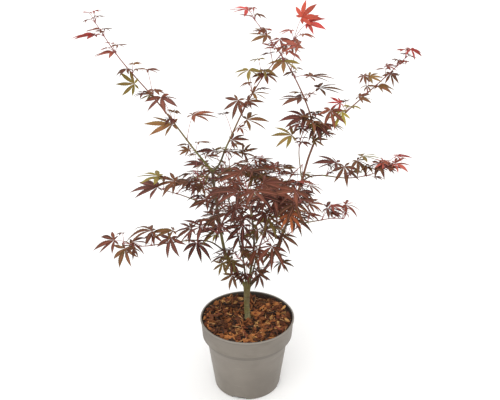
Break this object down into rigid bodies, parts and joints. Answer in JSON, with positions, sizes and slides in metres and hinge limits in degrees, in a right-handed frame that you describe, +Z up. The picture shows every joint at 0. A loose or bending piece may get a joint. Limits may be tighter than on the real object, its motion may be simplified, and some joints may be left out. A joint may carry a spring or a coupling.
{
  "type": "potted japanese maple",
  "caption": "Young Japanese maple with slender forking stems and sprays of deeply cut dark red leaves, in a round grey plastic nursery pot filled with bark mulch.",
  "frame": {"origin": "centre of the pot's flat underside", "axes": "+Z up along the pot's axis, -Y towards the front of the plant, +X to the right seen from the front"},
  "size_m": [0.5973, 0.5309, 0.7617],
  "materials": {
    "pot_plastic": "satin warm grey",
    "peat": "dark, moist and crumbly",
    "bark_chips": "rough orange-brown bark chips",
    "trunk_bark": "smooth grey-green young bark",
    "stem_bark": "smooth green-brown to red-brown bark",
    "foliage": "thin matt leaves, dark red-brown with olive and bright red ones"
  },
  "bodies": {
    "root": {"pot": "pot_plastic", "peat": "peat", "bark_mulch": "bark_chips", "trunk": "trunk_bark", "left_stem": "stem_bark", "right_stem": "stem_bark", "front_stem": "stem_bark", "back_left_stem": "stem_bark", "back_right_stem": "stem_bark", "left_fork": "stem_bark", "middle_fork": "stem_bark", "right_fork": "stem_bark", "lower_left_limb": "stem_bark", "middle_left_limb": "stem_bark", "lower_right_limb": "stem_bark", "right_limb": "stem_bark", "foliage_left_whip": "foliage", "foliage_middle_whip": "foliage", "foliage_crossing_whip": "foliage", "foliage_right_whip": "foliage", "foliage_right_branch": "foliage", "foliage_slender_twig": "foliage", "foliage_lower_left_branch": "foliage", "foliage_middle_left_branch": "foliage", "foliage_lower_right_branch": "foliage", "foliage_front_crown": "foliage", "foliage_front_right_crown": "foliage", "foliage_front_left_crown": "foliage", "foliage_front_low": "foliage", "foliage_low_centre": "foliage", "foliage_low_left": "foliage", "foliage_low_right": "foliage", "foliage_inner_left": "foliage", "foliage_upper_inner": "foliage", "foliage_outer_left": "foliage", "foliage_inner_right": "foliage", "foliage_outer_right": "foliage", "foliage_back_left_crown": "foliage", "foliage_back_crown": "foliage", "foliage_back_right_crown": "foliage"}
  },
  "joints": []
}
